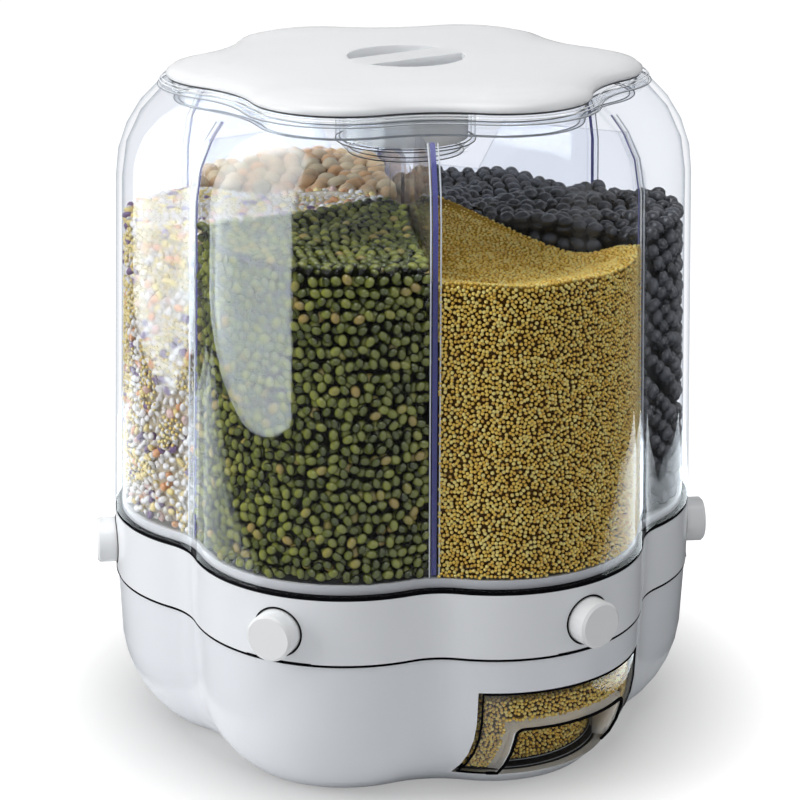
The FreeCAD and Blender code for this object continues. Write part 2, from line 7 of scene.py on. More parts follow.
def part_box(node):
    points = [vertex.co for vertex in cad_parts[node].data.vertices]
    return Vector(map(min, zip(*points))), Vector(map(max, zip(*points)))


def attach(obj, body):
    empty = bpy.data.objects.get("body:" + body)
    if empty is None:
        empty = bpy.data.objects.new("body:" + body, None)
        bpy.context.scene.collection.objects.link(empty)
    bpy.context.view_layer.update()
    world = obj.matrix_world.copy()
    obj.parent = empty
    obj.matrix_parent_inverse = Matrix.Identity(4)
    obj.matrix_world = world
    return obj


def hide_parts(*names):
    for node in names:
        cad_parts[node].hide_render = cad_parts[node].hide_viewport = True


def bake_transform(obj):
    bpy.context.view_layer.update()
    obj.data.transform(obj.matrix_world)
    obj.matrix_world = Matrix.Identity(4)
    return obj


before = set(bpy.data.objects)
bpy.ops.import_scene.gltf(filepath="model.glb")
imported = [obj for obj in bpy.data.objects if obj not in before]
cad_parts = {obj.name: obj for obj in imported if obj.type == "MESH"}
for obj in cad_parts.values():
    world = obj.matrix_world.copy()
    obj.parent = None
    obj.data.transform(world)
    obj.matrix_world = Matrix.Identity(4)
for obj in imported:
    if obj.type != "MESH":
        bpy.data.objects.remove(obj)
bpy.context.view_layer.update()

scene = bpy.context.scene
MM = 0.001

# Table: a wide sheet of white paper that keeps the object's soft contact shadow. The camera sees
# the lit paper under a glow that grows away from the object, up to the backdrop's pure white; the
# weaker glow near the object's foot adds a painted contact shadow.
shade_reach = 0.104
white_reach = 0.176
shade_glow = 0.55
white_glow = 1.53
glow_share = 0.65
floor_half = 6.0


def new_material(name):
    """An empty node material with its output, ready for the shader of one finish."""
    material = bpy.data.materials.new(name)
    material.use_nodes = True
    material.node_tree.nodes.clear()
    output = material.node_tree.nodes.new("ShaderNodeOutputMaterial")
    return material, material.node_tree.nodes, material.node_tree.links, output


def floor_paper():
    """White paper, with the glow only where it is seen straight or through clear plastic. The glow is
    weaker near the object's foot, as painted contact shadow.
    """
    material, nodes, links, output = new_material("floor paper")
    paper = nodes.new("ShaderNodeBsdfDiffuse")
    paper.inputs["Color"].default_value = (0.80, 0.80, 0.80, 1)
    lift = nodes.new("ShaderNodeEmission")
    place = nodes.new("ShaderNodeTexCoord")
    away = nodes.new("ShaderNodeVectorMath")
    away.operation = "LENGTH"
    painted_shadow_fade = nodes.new("ShaderNodeMapRange")
    painted_shadow_fade.inputs["From Min"].default_value = shade_reach
    painted_shadow_fade.inputs["From Max"].default_value = white_reach
    painted_shadow_fade.inputs["To Min"].default_value = shade_glow
    painted_shadow_fade.inputs["To Max"].default_value = white_glow
    links.new(place.outputs["Object"], away.inputs[0])
    links.new(away.outputs["Value"], painted_shadow_fade.inputs["Value"])
    links.new(painted_shadow_fade.outputs["Result"], lift.inputs["Strength"])
    total = nodes.new("ShaderNodeMixShader")
    total.inputs["Fac"].default_value = glow_share
    seen = nodes.new("ShaderNodeMixShader")
    rays = nodes.new("ShaderNodeLightPath")
    direct = nodes.new("ShaderNodeMath")
    direct.operation = "MAXIMUM"
    links.new(rays.outputs["Is Camera Ray"], direct.inputs[0])
    links.new(rays.outputs["Is Transmission Ray"], direct.inputs[1])
    links.new(direct.outputs[0], seen.inputs["Fac"])
    links.new(paper.outputs[0], total.inputs[1])
    links.new(lift.outputs[0], total.inputs[2])
    links.new(paper.outputs[0], seen.inputs[1])
    links.new(total.outputs[0], seen.inputs[2])
    links.new(seen.outputs[0], output.inputs["Surface"])
    return material


floor_mesh = bpy.data.meshes.new("floor")
floor_mesh.from_pydata([(-floor_half, -floor_half, 0), (floor_half, -floor_half, 0),
                        (floor_half, floor_half, 0), (-floor_half, floor_half, 0)], [], [(0, 1, 2, 3)])
floor = bpy.data.objects.new("floor", floor_mesh)
scene.collection.objects.link(floor)
floor_mesh.materials.append(floor_paper())

# Air of the studio: a weak cool fill on the object, which the camera sees as a white wall and
# shiny surfaces as a slightly greyer one.
world = bpy.data.worlds.new("studio")
scene.world = world
world.use_nodes = True
world.node_tree.nodes.clear()
air = world.node_tree.nodes
join = world.node_tree.links.new
sky_output = air.new("ShaderNodeOutputWorld")
soft_fill = air.new("ShaderNodeBackground")
soft_fill.inputs["Color"].default_value = (0.93, 0.96, 1.0, 1)
soft_fill.inputs["Strength"].default_value = 0.15
white_wall = air.new("ShaderNodeBackground")
white_wall.inputs["Strength"].default_value = 1.0
wall_mix = air.new("ShaderNodeMixShader")
sky_rays = air.new("ShaderNodeLightPath")
wall_seen = air.new("ShaderNodeMath")
wall_seen.operation = "MAXIMUM"
wall_shine = air.new("ShaderNodeMath")
wall_shine.operation = "MULTIPLY"
wall_shine.inputs[1].default_value = 0.8
join(sky_rays.outputs["Is Camera Ray"], wall_seen.inputs[0])
join(sky_rays.outputs["Is Glossy Ray"], wall_shine.inputs[0])
join(wall_shine.outputs[0], wall_seen.inputs[1])
join(wall_seen.outputs[0], wall_mix.inputs["Fac"])
join(soft_fill.outputs[0], wall_mix.inputs[1])
join(white_wall.outputs[0], wall_mix.inputs[2])
join(wall_mix.outputs[0], sky_output.inputs["Surface"])

# Studio lamps: one tall soft box on the camera's left, a broad overhead panel and a weak
# panel on the right, all plain white.


def soft_box(name, place, target, width, height, power):
    """Rectangular area lamp that looks at a point of the object."""
    lamp = bpy.data.lights.new(name, "AREA")
    lamp.shape = "RECTANGLE"
    lamp.size = width
    lamp.size_y = height
    lamp.energy = power
    holder = bpy.data.objects.new(name, lamp)
    scene.collection.objects.link(holder)
    holder.location = place
    holder.rotation_euler = (Vector(target) - Vector(place)).to_track_quat("-Z", "Y").to_euler()


lamp_aim = (0, 0, 0.14)
view_azimuth = math.radians(-36.55)
view_elevation = math.radians(18.09)
aim = Vector((0, 0, 0.1354))
toward_camera = Vector((math.sin(view_azimuth), -math.cos(view_azimuth), 0))
camera_right = Vector((math.cos(view_azimuth), math.sin(view_azimuth), 0))


def studio_point(right, toward, up):
    """Point of the studio: to the camera's right, towards the camera and up from the table."""
    return camera_right * right + toward_camera * toward + Vector((0, 0, up))


soft_box("left soft box", studio_point(-1.22, 0.30, 0.55), lamp_aim, 0.75, 1.1, 12.0)
soft_box("overhead panel", studio_point(-0.15, 0.25, 1.35), lamp_aim, 1.1, 1.1, 10.4)
soft_box("right panel", studio_point(1.3, 0.5, 0.5), lamp_aim, 0.6, 1.0, 2.4)

# Reflection cards: a white board on the left and one lying on the table at each side. Only the
# clear pieces mirror them, so they draw the pale panels on the walls without lighting the grain.
clear_pieces = bpy.data.collections.new("clear pieces")


def reflection_card(name, corners, strength):
    """Cool white glowing board that only the reflections on the clear pieces show."""
    mesh = bpy.data.meshes.new(name)
    mesh.from_pydata(corners, [], [tuple(range(len(corners)))])
    card = bpy.data.objects.new(name, mesh)
    scene.collection.objects.link(card)
    card.visible_camera = False
    card.visible_diffuse = False
    card.visible_transmission = False
    card.visible_shadow = False
    light, nodes, links, output = new_material(name + " light")
    glow = nodes.new("ShaderNodeEmission")
    glow.inputs["Color"].default_value = card_white
    glow.inputs["Strength"].default_value = strength
    links.new(glow.outputs[0], output.inputs["Surface"])
    mesh.materials.append(light)
    card.light_linking.receiver_collection = clear_pieces


card_white = (0.88, 0.96, 1.0, 1)
card_strength = 31.0
card_foot = 0.06
card_rise = Vector((0, 0, 0.75))
card_near = studio_point(-0.28, 0.40, card_foot)
card_far = studio_point(-0.62, -0.22, card_foot)
card_corners = [card_near, card_far, card_far + card_rise, card_near + card_rise]
reflection_card("left card", card_corners, card_strength)
sheet_strength = 9.0
sheet_height = 0.002
left_sheet = [(-0.10, 0.14), (-0.19, 0.28), (-0.35, 0.20), (-0.51, 0.00), (-0.68, -0.31), (-0.30, -0.35),
              (-0.14, -0.05)]
right_sheet = [(0.15, 0.09), (0.27, 0.18), (0.41, 0.03), (0.45, -0.12), (0.36, -0.34), (0.16, -0.25),
               (0.13, -0.05)]
for sheet_name, outline in (("left sheet", left_sheet), ("right sheet", right_sheet)):
    sheet_corners = [studio_point(right, toward, sheet_height) for right, toward in outline]
    reflection_card(sheet_name, sheet_corners, sheet_strength)

# Camera: the photograph's long lens, looking down a little from in front of the cup's left. Light
# is followed deep enough for the many clear walls that lie one behind the other.
camera_data = bpy.data.cameras.new("camera")
camera = bpy.data.objects.new("camera", camera_data)
scene.collection.objects.link(camera)
scene.camera = camera
camera_data.lens = 114.7
camera_data.sensor_width = 36.0
camera_distance = 1.0987
camera_roll = 0.0051
aim_offset = -0.0017
look_back = toward_camera * math.cos(view_elevation) + Vector((0, 0, math.sin(view_elevation)))
camera.location = aim + look_back * camera_distance
look_at = aim + camera_right * aim_offset
direction = look_at - camera.location
camera.rotation_euler = (direction.to_track_quat("-Z", "Y").to_matrix()
                         @ Matrix.Rotation(camera_roll, 3, "Z")).to_euler()
scene.view_settings.view_transform = "Standard"
scene.cycles.transparent_max_bounces = 40
scene.cycles.max_bounces = 16
scene.cycles.transmission_bounces = 16

# Base bowl: one white moulding, lobed like the bucket and tucked under at the foot, with the
# opening for the cup cut in its front lobe. The CAD shell is merged and its bands shaded smooth.
weld_distance = 2e-6


def glossy_plastic(name, colour, roughness, ripple=0.0):
    """Moulded opaque plastic or rubber: a soft gloss over a body colour, with a faint ripple if any."""
    material, nodes, links, output = new_material(name)
    body = nodes.new("ShaderNodeBsdfPrincipled")
    body.inputs["Base Color"].default_value = (*colour, 1)
    body.inputs["Roughness"].default_value = roughness
    body.inputs["IOR"].default_value = 1.48
    links.new(body.outputs[0], output.inputs["Surface"])
    if ripple:
        place = nodes.new("ShaderNodeTexCoord")
        waves = nodes.new("ShaderNodeTexNoise")
        waves.inputs["Scale"].default_value = 900
        waves.inputs["Detail"].default_value = 2
        bump = nodes.new("ShaderNodeBump")
        bump.inputs["Strength"].default_value = ripple
        bump.inputs["Distance"].default_value = 0.0002
        links.new(place.outputs["Object"], waves.inputs["Vector"])
        links.new(waves.outputs["Fac"], bump.inputs["Height"])
        links.new(bump.outputs["Normal"], body.inputs["Normal"])
    return material


def show_object(name, mesh, material, body):
    """Links a finished piece, gives it its one material and lets it ride on its body, if it has one."""
    mesh.materials.clear()
    mesh.materials.append(material)
    piece = bpy.data.objects.new(name, mesh)
    scene.collection.objects.link(piece)
    if body:
        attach(piece, body)
    return piece


def carried(node, material, body, smooth_angle=30, clear=False):
    """A CAD node's shape with its loose triangles merged and its gentle bands shaded smooth."""
    work = bmesh.new()
    work.from_mesh(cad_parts[node].data)
    bmesh.ops.remove_doubles(work, verts=work.verts, dist=weld_distance)
    limit = math.radians(smooth_angle)
    for face in work.faces:
        face.smooth = True
    for edge in work.edges:
        edge.smooth = len(edge.link_faces) == 2 and edge.calc_face_angle(0) < limit
    mesh = bpy.data.meshes.new(node + "_shown")
    work.to_mesh(mesh)
    work.free()
    piece = show_object(node + "_shown", mesh, material, body)
    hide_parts(node)
    if clear:
        clear_pieces.objects.link(piece)
    return piece


shell_white = glossy_plastic("white base plastic", (0.79, 0.815, 0.855), 0.22, 0.05)
carried("base_bowl", shell_white, "base")

# Feet and screws under the base: soft dark pads in shallow pockets, pan-head screws, and the steel
# keeper plate with its screw, which holds the bucket's hub down on the pivot.


def bare_steel(name, colour):
    """Steel with a low, even gloss."""
    material = glossy_plastic(name, colour, 0.3)
    material.node_tree.nodes["Principled BSDF"].inputs["Metallic"].default_value = 1.0
    return material


foot_rubber = glossy_plastic("foot rubber", (0.03, 0.03, 0.03), 0.7)
zinc = bare_steel("zinc plated steel", (0.55, 0.55, 0.56))
carried("feet", foot_rubber, "base")
for node in ("base_screws", "pivot_keeper", "pivot_screw"):
    carried(node, zinc, "base")

# Deck, cup bay and glide pads: plain inner mouldings of the standing base. The deck closes the
# bowl, the bay holds the cup and is near black, painted shade for the gap round the cup, and the
# bucket turns on the low-friction pads.
inner_white = glossy_plastic("inner white plastic", (0.78, 0.79, 0.80), 0.45)
glide_white = glossy_plastic("glide plastic", (0.85, 0.83, 0.76), 0.35)
carried("base_deck", inner_white, "base")
bay_shade_black = glossy_plastic("bay plastic painted shade", (0.012, 0.012, 0.013), 0.5)
carried("cup_bay", bay_shade_black, "base")
carried("glides", glide_white, "base")

# Collar: the white ring of the bucket that holds the buttons. Inside it lie the gate plate, on
# which the louvre gates slide, and the tray, the floor of the six compartments.
collar_white = glossy_plastic("white collar plastic", (0.82, 0.84, 0.87), 0.20, 0.05)
collar = carried("collar", collar_white, "bucket")
carried("gate_plate", inner_white, "bucket")
carried("tray", inner_white, "bucket")

# Gasket: black rubber ring between collar and clear bucket, seen as the thick black line. It is
# dull, so that it stays black under the lamps. The same black paints the shade in the seam, round
# the button holes and along the cup's dark lines.
black_rubber_and_painted_shade = glossy_plastic("gasket rubber and painted shade", (0.003, 0.003, 0.004), 0.7)
black_rubber_and_painted_shade.node_tree.nodes["Principled BSDF"].inputs["Specular IOR Level"].default_value = 0.02
carried("gasket", black_rubber_and_painted_shade, "bucket")

# Seam under the collar: the bucket turns a millimetre over the bowl, and the dark inside shows as
# a fine black line. A black strip on the base paints that shade, along the lobed outline of both
# mouldings.
lobe_centre = 60.6 * MM
lobe_crest = 125.0 * MM
valley_fillet = 29.5 * MM


def outline_reach(angle, inset):
    """Axis to the lobed outline, moved in by an inset, at an angle from the nearest lobe."""
    half = math.pi / 6
    angle = abs((angle + half) % (2 * half) - half)
    radius = lobe_crest - inset - lobe_centre
    fillet = valley_fillet + inset
    valley_rise = lobe_centre * math.sin(half)
    valley = lobe_centre * math.cos(half) + math.sqrt((radius + fillet) ** 2 - valley_rise ** 2)
    valley_x, valley_y = valley * math.cos(half), valley * math.sin(half)
    share = radius / (radius + fillet)
    tangent = math.atan2(valley_y * share, lobe_centre + (valley_x - lobe_centre) * share)
    if angle < tangent:
        return lobe_centre * math.cos(angle) + math.sqrt(radius ** 2 - (lobe_centre * math.sin(angle)) ** 2)
    off = half - angle
    return valley * math.cos(off) - math.sqrt(fillet ** 2 - (valley * math.sin(off)) ** 2)


def ring_strip(name, inset, bottom, top, material, body):
    """Upright strip that follows the lobed outline, just inside the outer skin."""
    count = 240
    work = bmesh.new()
    rings = []
    for z in (bottom, top):
        ring = []
        for i in range(count):
            angle = 2 * math.pi * i / count
            reach = outline_reach(angle, inset)
            way = angle - math.pi / 2
            ring.append(work.verts.new((reach * math.cos(way), reach * math.sin(way), z)))
        rings.append(ring)
    for i in range(count):
        j = (i + 1) % count
        work.faces.new((rings[0][i], rings[0][j], rings[1][j], rings[1][i])).smooth = True
    mesh = bpy.data.meshes.new(name)
    work.to_mesh(mesh)
    work.free()
    show_object(name, mesh, material, body)


seam_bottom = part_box("base_bowl")[1].z
seam_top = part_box("collar")[0].z
seam_overlap = 0.1 * MM
ring_strip("seam_strip", 0.15 * MM, seam_bottom - seam_overlap, seam_top + seam_overlap, black_rubber_and_painted_shade, "base")

# Push buttons, gates and springs: six glossy caps, each on its louvre gate, with a bent strip
# spring behind it. On the real thing the spring's crown goes in with the gate while its feet stay
# with the bucket; here it is a fixed shape that rides on no body.
button_white = glossy_plastic("button plastic", (0.86, 0.87, 0.88), 0.18)
spring_steel = bare_steel("spring steel", (0.45, 0.45, 0.46))
for number in range(1, 7):
    carried("button_%d" % number, button_white, "push_%d" % number)
    carried("gate_%d" % number, inner_white, "push_%d" % number)
    spring = carried("spring_%d" % number, spring_steel, None)
    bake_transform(spring)

# Clear bucket: one thick-walled clear moulding. Seen straight on it is almost nothing, and
# towards its edges it turns pale and then grey, as clear plastic does.
head_on_mirror = 0.007
crisp_angle = math.radians(33)


def clear_plastic(name, tint, edge_tint, edge_start, bloom=0.001, edge_bloom=0.08, edge_mirror=0.22):
    """Clear wall: what is behind shows through its tint, under a gloss and a bloom at the edges.
    Faces with a share in the attribute "frost" are milky by that share."""
    material, nodes, links, output = new_material(name)
    through = nodes.new("ShaderNodeBsdfTransparent")
    facing = nodes.new("ShaderNodeLayerWeight")
    facing.inputs["Blend"].default_value = 0.5
    rim = nodes.new("ShaderNodeMapRange")
    rim.inputs["From Min"].default_value = edge_start
    rim.inputs["From Max"].default_value = 1.0
    shade = nodes.new("ShaderNodeMix")
    shade.data_type = "RGBA"
    shade.inputs["A"].default_value = (*tint, 1)
    shade.inputs["B"].default_value = (*edge_tint, 1)
    rays = nodes.new("ShaderNodeLightPath")
    lit = nodes.new("ShaderNodeMix")
    lit.data_type = "RGBA"
    lit.inputs["B"].default_value = (0.985, 0.985, 0.985, 1)
    haze = nodes.new("ShaderNodeBsdfDiffuse")
    haze.inputs["Color"].default_value = (0.86, 0.88, 0.91, 1)
    glow = nodes.new("ShaderNodeBsdfTranslucent")
    glow.inputs["Color"].default_value = (1.0, 0.98, 0.95, 1)
    milk = nodes.new("ShaderNodeMixShader")
    haze_part = nodes.new("ShaderNodeMapRange")
    haze_part.inputs["From Min"].default_value = edge_start
    haze_part.inputs["From Max"].default_value = 1.0
    haze_part.inputs["To Min"].default_value = bloom
    haze_part.inputs["To Max"].default_value = edge_bloom
    frost = nodes.new("ShaderNodeAttribute")
    frost.attribute_name = "frost"
    frosted = nodes.new("ShaderNodeMath")
    frosted.operation = "MAXIMUM"
    misted = nodes.new("ShaderNodeMixShader")
    gloss = nodes.new("ShaderNodeBsdfGlossy")
    gloss.inputs["Roughness"].default_value = 0.03
    slant = nodes.new("ShaderNodeMath")
    slant.operation = "POWER"
    slant.inputs[1].default_value = 5
    mirror = nodes.new("ShaderNodeMath")
    mirror.operation = "MULTIPLY_ADD"
    mirror.inputs[1].default_value = edge_mirror
    mirror.inputs[2].default_value = head_on_mirror
    mix = nodes.new("ShaderNodeMixShader")
    links.new(facing.outputs["Facing"], rim.inputs["Value"])
    links.new(facing.outputs["Facing"], haze_part.inputs["Value"])
    links.new(facing.outputs["Facing"], slant.inputs[0])
    links.new(slant.outputs[0], mirror.inputs[0])
    links.new(rim.outputs["Result"], shade.inputs["Factor"])
    links.new(rays.outputs["Is Shadow Ray"], lit.inputs["Factor"])
    links.new(shade.outputs["Result"], lit.inputs["A"])
    links.new(lit.outputs["Result"], through.inputs["Color"])
    links.new(haze_part.outputs["Result"], frosted.inputs[0])
    links.new(frost.outputs["Fac"], frosted.inputs[1])
    links.new(frosted.outputs[0], misted.inputs["Fac"])
    links.new(through.outputs[0], misted.inputs[1])
    links.new(frost.outputs["Fac"], milk.inputs["Fac"])
    links.new(haze.outputs[0], milk.inputs[1])
    links.new(glow.outputs[0], milk.inputs[2])
    links.new(milk.outputs[0], misted.inputs[2])
    links.new(mirror.outputs[0], mix.inputs["Fac"])
    links.new(misted.outputs[0], mix.inputs[1])
    links.new(gloss.outputs[0], mix.inputs[2])
    links.new(mix.outputs[0], output.inputs["Surface"])
    return material


def geometry_tree(name, inputs, output):
    """An empty Geometry Nodes tree with its named inputs and its one shape as output."""
    tree = bpy.data.node_groups.new(name, "GeometryNodeTree")
    for label, kind in inputs:
        tree.interface.new_socket(label, in_out="INPUT", socket_type="NodeSocket" + kind)
    tree.interface.new_socket(output, in_out="OUTPUT", socket_type="NodeSocketGeometry")
    given = tree.nodes.new("NodeGroupInput")
    result = tree.nodes.new("NodeGroupOutput")
    return tree, tree.nodes, tree.links, given, result


def edge_bead_tree():
    """Geometry Nodes tree that turns loose edges into a thin round bead."""
    inputs = (("Edges", "Geometry"), ("Radius", "Float"), ("Finish", "Material"))
    tree, nodes, links, given, result = geometry_tree("edge bead", inputs, "Bead")
    path = nodes.new("GeometryNodeMeshToCurve")
    section = nodes.new("GeometryNodeCurvePrimitiveCircle")
    section.inputs["Resolution"].default_value = 6
    sweep = nodes.new("GeometryNodeCurveToMesh")
    real = nodes.new("GeometryNodeRealizeInstances")
    finish = nodes.new("GeometryNodeSetMaterial")
    links.new(given.outputs["Edges"], path.inputs["Mesh"])
    links.new(given.outputs["Radius"], section.inputs["Radius"])
    links.new(path.outputs[0], sweep.inputs["Curve"])
    links.new(section.outputs[0], sweep.inputs["Profile Curve"])
    links.new(sweep.outputs[0], real.inputs[0])
    links.new(real.outputs[0], finish.inputs["Geometry"])
    links.new(given.outputs["Finish"], finish.inputs["Material"])
    links.new(finish.outputs[0], result.inputs["Bead"])
    return tree


edge_beads = edge_bead_tree()


def run_tree(name, base_mesh, tree, values):
    """Runs a Geometry Nodes tree on a mesh, inputs set by name, and keeps the result as a mesh."""
    holder = bpy.data.objects.new(name + " source", base_mesh)
    scene.collection.objects.link(holder)
    run = holder.modifiers.new("tree", "NODES")
    run.node_group = tree
    for item in tree.interface.items_tree:
        if item.item_type == "SOCKET" and item.in_out == "INPUT" and item.name in values:
            run[item.identifier] = values[item.name]
    bpy.context.view_layer.update()
    seen = holder.evaluated_get(bpy.context.evaluated_depsgraph_get())
    mesh = bpy.data.meshes.new_from_object(seen)
    holder.modifiers.remove(run)
    bpy.data.objects.remove(holder)
    mesh.name = name
    for polygon in mesh.polygons:
        polygon.use_smooth = True
    return mesh


def edge_line(name, piece, keep, radius, material, body, shift=(0, 0, 0)):
    """Bead along, or a little beside, the crisp edges of a piece whose middle passes keep."""
    work = bmesh.new()
    work.from_mesh(piece.data)
    gone = []
    for edge in work.edges:
        middle = (edge.verts[0].co + edge.verts[1].co) / 2
        crisp = len(edge.link_faces) == 2 and edge.calc_face_angle(0) > crisp_angle
        if not (crisp and keep(middle)):
            gone.append(edge)
    bmesh.ops.delete(work, geom=list(work.faces), context="FACES_ONLY")
    bmesh.ops.delete(work, geom=gone, context="EDGES")
    bmesh.ops.delete(work, geom=[vert for vert in work.verts if not vert.link_edges], context="VERTS")
    bmesh.ops.translate(work, verts=work.verts, vec=shift)
    edges = bpy.data.meshes.new(name + " edges")
    work.to_mesh(edges)
    work.free()
    mesh = run_tree(name, edges, edge_beads, {"Radius": radius, "Finish": material})
    show_object(name, mesh, material, body)


# Beads on the clear mouldings' edges: the white ones are painted highlights, the grey and dark ones painted
# shade. The grey bead on the bucket's lip paints the shade along its rim.
edge_highlight_white = glossy_plastic("painted highlight clear edge", (0.90, 0.92, 0.95), 0.3)
edge_shade_grey = glossy_plastic("painted shade clear edge", (0.30, 0.33, 0.37), 0.3)
bucket_clear = clear_plastic("clear bucket plastic", (0.945, 0.952, 0.968), (0.70, 0.74, 0.78), 0.78)
bucket = carried("bucket_shell", bucket_clear, "bucket", 40, clear=True)
lip_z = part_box("bucket_shell")[1].z
edge_line("bucket_lip_line", bucket, lambda at: at.z > lip_z - 1 * MM, 0.25 * MM, edge_shade_grey, "bucket")

# Button holes: the play round each cap is dark inside; a black bead round each hole on the
# collar's face paints that shade as a fine black ring.
button_middle = (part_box("button_1")[0].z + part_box("button_1")[1].z) / 2
hole_window = 0.013
collar_face_reach = 0.1228


def on_button_hole(at):
    """True for the edges of the collar's outer face round its six button holes."""
    off = (math.atan2(at.x, -at.y) + math.pi / 6) % (math.pi / 3) - math.pi / 6
    reach = math.hypot(at.x, at.y)
    beside = max(reach * abs(math.sin(off)), abs(at.z - button_middle))
    return reach * math.cos(off) > collar_face_reach and beside < hole_window


edge_line("button_hole_line", collar, on_button_hole, 0.32 * MM, black_rubber_and_painted_shade, "bucket")

# Divider: six clear vanes from one hub, each with a thick rounded end in the wall's valley. The
# end has white beads on its corners, painted highlights, and a blue core, carried on up the
# shoulder as the rib that holds it.
vane_clear = clear_plastic("clear divider plastic", (0.955, 0.962, 0.978), (0.78, 0.80, 0.95), 0.75,
                           edge_mirror=0.9)
carried("divider", vane_clear, "bucket", 40, clear=True)
bead_half = 1.95 * MM
core_half = 1.0 * MM
core_depth = 1.6 * MM
bead_run = [(108.5 * MM, 97.0 * MM), (104.4 * MM, 237.3 * MM), (102.1 * MM, 250.7 * MM),
            (96.8 * MM, 261.5 * MM), (91.6 * MM, 268.0 * MM)]
corner_points, corner_edges, core_points, core_faces = [], [], [], []
for vane in range(6):
    lay = Matrix.Rotation(math.radians(60 * vane), 3, "Z")
    for side in (-1, 1):
        first = len(corner_points)
        corner_points += [lay @ Vector((reach, side * bead_half, z)) for reach, z in bead_run]
        corner_edges += [(first + i, first + i + 1) for i in range(len(bead_run) - 1)]
    first = len(core_points)
    for reach, z in bead_run:
        core_points += [lay @ Vector((reach - core_depth, side * core_half, z)) for side in (-1, 1)]
    pairs = [first + 2 * i for i in range(len(bead_run) - 1)]
    core_faces += [(pair, pair + 1, pair + 3, pair + 2) for pair in pairs]
corners = bpy.data.meshes.new("vane corners")
corners.from_pydata(corner_points, corner_edges, [])
corner_mesh = run_tree("vane_bead_line", corners, edge_beads, {"Radius": 0.30 * MM, "Finish": edge_highlight_white})
show_object("vane_bead_line", corner_mesh, edge_highlight_white, "bucket")
edge_blue = glossy_plastic("blue clear edge", (0.13, 0.13, 0.42), 0.3)
core_mesh = bpy.data.meshes.new("vane_core_line")
core_mesh.from_pydata(core_points, [], core_faces)
show_object("vane_core_line", core_mesh, edge_blue, "bucket")

# Lid: white crowned cover with its grip recess, over a clear inner lid with skirt and tub, and a
# dark seal between them. Pale beads on the clear moulding's corners are painted highlights, dark
# and grey ones painted shade.
lid_white = glossy_plastic("white lid plastic", (0.955, 0.975, 1.0), 0.25, 0.05)
lid_body_shader = lid_white.node_tree.nodes["Principled BSDF"]
lid_body_shader.inputs["Subsurface Weight"].default_value = 0.5
lid_body_shader.inputs["Subsurface Radius"].default_value = (1.0, 1.0, 1.0)
lid_body_shader.inputs["Subsurface Scale"].default_value = 0.012
carried("lid_cover", lid_white, "lid", 56)
lid_clear = clear_plastic("clear lid plastic", (0.975, 0.980, 0.988), (0.74, 0.77, 0.80), 0.7)
lid_inner = carried("lid_body", lid_clear, "lid", clear=True)
skirt_foot = lip_z - 0.006
frame_foot = lip_z - 0.0002
frame_top = lip_z + 0.0031
frame_reach = 0.074
tub_top = lip_z - 0.0065


def on_lid_skirt(at):
    """True for the edges at the foot of the lid's skirt."""
    return abs(at.z - skirt_foot) < 0.0004


def on_lid_frame(at):
    """True for the outer edges of the frame that lies on the bucket's lip."""
    return frame_foot < at.z < frame_top and math.hypot(at.x, at.y) > frame_reach


edge_shade_dark = glossy_plastic("painted dark shade clear edge", (0.02, 0.02, 0.024), 0.3)
edge_line("lid_skirt_line", lid_inner, on_lid_skirt, 0.25 * MM, edge_shade_grey, "lid")
edge_line("lid_frame_line", lid_inner, on_lid_frame, 0.22 * MM, edge_highlight_white, "lid")
edge_line("lid_tub_line", lid_inner, lambda at: at.z < tub_top, 0.25 * MM, edge_shade_dark, "lid")
seal_grey = glossy_plastic("seal silicone", (0.05, 0.05, 0.055), 0.5)
carried("lid_seal", seal_grey, "lid")

# Cup: clear pull-out cup whose front has a moulded finger recess. The recess's sides and roof are
# frosted. Black beads on its mouth and on the cup's rim paint the shade there as black lines, a
# white bead under the mouth is a painted highlight, and grey beads paint shade where the recess's
# sides meet its back. The front carries on the bowl's skin: upright at the top and drawn in along
# an arc towards the foot.
cup_clear = clear_plastic("clear cup plastic", (0.97, 0.97, 0.965), (0.55, 0.55, 0.56), 0.7, 0.01, 0.12)
cup = carried("cup", cup_clear, "cup_body", clear=True)
recess_half = 30.0 * MM
recess_roof = 34.0 * MM
recess_back = 44.0 * MM
skin_arc_radius = 50.2 * MM
skin_arc_height = 39.2 * MM
skin_arc_inset = 51.8 * MM
skin_arc_top = 0.035
skin_straight_inset = 0.0012
rim_window = 0.0016
recess_frost = 0.6
wall_frost = 0.06
frost = cup.data.attributes.new("frost", "FLOAT", "FACE")
for polygon in cup.data.polygons:
    middle = polygon.center
    deep = math.hypot(middle.x, middle.y + lobe_centre)
    side_or_roof = abs(polygon.normal.y) < 0.55 and abs(middle.x) < recess_half + 1 * MM
    if side_or_roof and recess_back - 3 * MM < deep and 10 * MM < middle.z < recess_roof + 1 * MM:
        frost.data[polygon.index].value = recess_frost
    elif abs(middle.x) > recess_half + 2 * MM and deep > recess_back and middle.z > 12 * MM:
        frost.data[polygon.index].value = wall_frost


def on_cup_front(at):
    """True for edges in the cup's lobed front skin, which are its rim and the recess's mouth."""
    inset = skin_straight_inset
    if at.z < skin_arc_top:
        inset = skin_arc_inset - math.sqrt(max(0.0, skin_arc_radius ** 2 - (at.z - skin_arc_height) ** 2))
    return math.hypot(at.x, at.y + lobe_centre) > lobe_crest - lobe_centre - inset - rim_window


def in_recess(at):
    """True where the finger recess lies, in width and height."""
    return abs(at.x) < recess_half + 1 * MM and at.z < recess_roof + 1 * MM


def on_recess_mouth(at):
    """True for the edges where the finger recess opens in the cup's front."""
    return on_cup_front(at) and in_recess(at)


def on_recess_back(at):
    """True for the edges where the recess's sides and roof meet its back."""
    deep = math.hypot(at.x, at.y + lobe_centre)
    return abs(deep - recess_back) < 3 * MM and in_recess(at)


